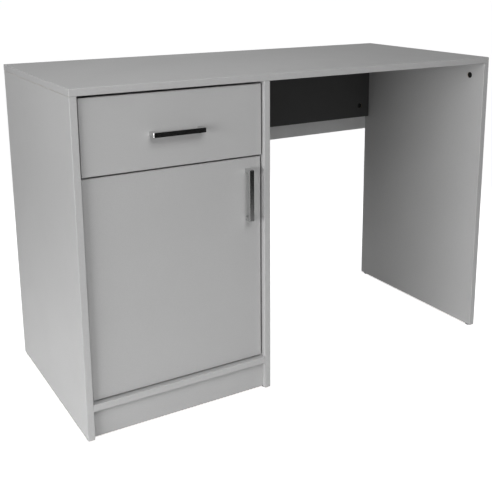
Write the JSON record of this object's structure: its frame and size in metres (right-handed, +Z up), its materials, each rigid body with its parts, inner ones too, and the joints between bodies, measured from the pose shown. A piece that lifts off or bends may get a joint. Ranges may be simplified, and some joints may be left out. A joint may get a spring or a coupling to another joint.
{
  "type": "writing desk",
  "caption": "Rectangular writing desk: open knee space with a back rail, and a side cabinet with a sliding drawer above a hinged door, both with bar handles.",
  "frame": {"origin": "centre of the footprint, handles included, at floor level", "axes": "+X along the desk to its right end, +Y to the back, +Z up; the drawer and door face -Y"},
  "size_m": [1.1, 0.505, 0.74],
  "materials": {
    "white_board": "light grey melamine board, satin, fine pearl texture",
    "dark_board": "dark grey melamine board, satin",
    "thin_sheet": "lacquered hardboard, satin",
    "drawer_board": "foil-wrapped board, satin",
    "handle_metal": "satin nickel plated bar, brushed along its length",
    "cam_metal": "black zinc casting",
    "black_plastic": "black moulded plastic",
    "roller_plastic": "white nylon",
    "coated_steel": "white epoxy-coated sheet steel",
    "zinc_steel": "zinc-plated steel"
  },
  "bodies": {
    "carcass": {"bottom_panel": "white_board", "cabinet_back_sheet": "thin_sheet", "cabinet_runner_left": "coated_steel", "cabinet_runner_right": "coated_steel", "cam_lock_bottom_front_left": "cam_metal", "cam_lock_bottom_front_right": "cam_metal", "cam_lock_bottom_rear_left": "cam_metal", "cam_lock_bottom_rear_right": "cam_metal", "cam_lock_divider_front": "cam_metal", "cam_lock_divider_rear": "cam_metal", "cam_lock_left_front": "cam_metal", "cam_lock_left_rear": "cam_metal", "cam_lock_rail_left_lower": "cam_metal", "cam_lock_rail_left_upper": "cam_metal", "cam_lock_rail_right_lower": "cam_metal", "cam_lock_rail_right_upper": "cam_metal", "cam_lock_right_front": "cam_metal", "cam_lock_right_rear": "cam_metal", "divider_panel": "white_board", "glide_divider_front": "black_plastic", "glide_divider_rear": "black_plastic", "glide_left_front": "black_plastic", "glide_left_rear": "black_plastic", "glide_right_front": "black_plastic", "glide_right_rear": "black_plastic", "knee_back_sheet": "thin_sheet", "knee_rail": "dark_board", "left_side_panel": "white_board", "magnet_catch": "black_plastic", "pivot_bracket_bottom": "zinc_steel", "pivot_bracket_top": "zinc_steel", "plinth_board": "white_board", "right_side_panel": "white_board", "shelf": "white_board", "shelf_pin_front_left": "zinc_steel", "shelf_pin_front_right": "zinc_steel", "shelf_pin_rear_left": "zinc_steel", "shelf_pin_rear_right": "zinc_steel", "top_panel": "white_board"},
    "drawer": {"drawer_back": "drawer_board", "drawer_bottom": "thin_sheet", "drawer_front": "white_board", "drawer_handle": "handle_metal", "drawer_handle_screw_left": "zinc_steel", "drawer_handle_screw_right": "zinc_steel", "drawer_runner_left": "coated_steel", "drawer_runner_right": "coated_steel", "drawer_side_left": "drawer_board", "drawer_side_right": "drawer_board"},
    "door": {"door_handle": "handle_metal", "door_handle_screw_bottom": "zinc_steel", "door_handle_screw_top": "zinc_steel", "door_panel": "white_board", "strike_plate": "zinc_steel"},
    "roller_front_left": {"roller_front_left": "roller_plastic"},
    "roller_front_right": {"roller_front_right": "roller_plastic"},
    "roller_rear_left": {"roller_rear_left": "roller_plastic"},
    "roller_rear_right": {"roller_rear_right": "roller_plastic"}
  },
  "joints": [
    {"name": "drawer_slide", "type": "slide", "parent": "carcass", "child": "drawer", "axis": [0, -1, 0], "range_m": [0, 0.29]},
    {"name": "door_hinge", "type": "hinge", "parent": "carcass", "child": "door", "pos_m": [-0.5235, -0.218, 0.32225], "axis": [0, 0, -1], "range_deg": [0, 95]},
    {"name": "roller_front_left_spin", "type": "hinge", "parent": "carcass", "child": "roller_front_left", "pos_m": [-0.52875, -0.1995, 0.59775], "axis": [1, 0, 0], "continuous": true},
    {"name": "roller_rear_left_spin", "type": "hinge", "parent": "drawer", "child": "roller_rear_left", "pos_m": [-0.52875, 0.1705, 0.59775], "axis": [1, 0, 0], "continuous": true},
    {"name": "roller_front_right_spin", "type": "hinge", "parent": "carcass", "child": "roller_front_right", "pos_m": [-0.12925, -0.1995, 0.59775], "axis": [1, 0, 0], "continuous": true},
    {"name": "roller_rear_right_spin", "type": "hinge", "parent": "drawer", "child": "roller_rear_right", "pos_m": [-0.12925, 0.1705, 0.59775], "axis": [1, 0, 0], "continuous": true}
  ],
  "couplings": [
    {"joint": "roller_front_left_spin", "follows": "drawer_slide", "rad_per_m": 125},
    {"joint": "roller_rear_left_spin", "follows": "drawer_slide", "rad_per_m": 125},
    {"joint": "roller_front_right_spin", "follows": "drawer_slide", "rad_per_m": 125},
    {"joint": "roller_rear_right_spin", "follows": "drawer_slide", "rad_per_m": 125}
  ]
}
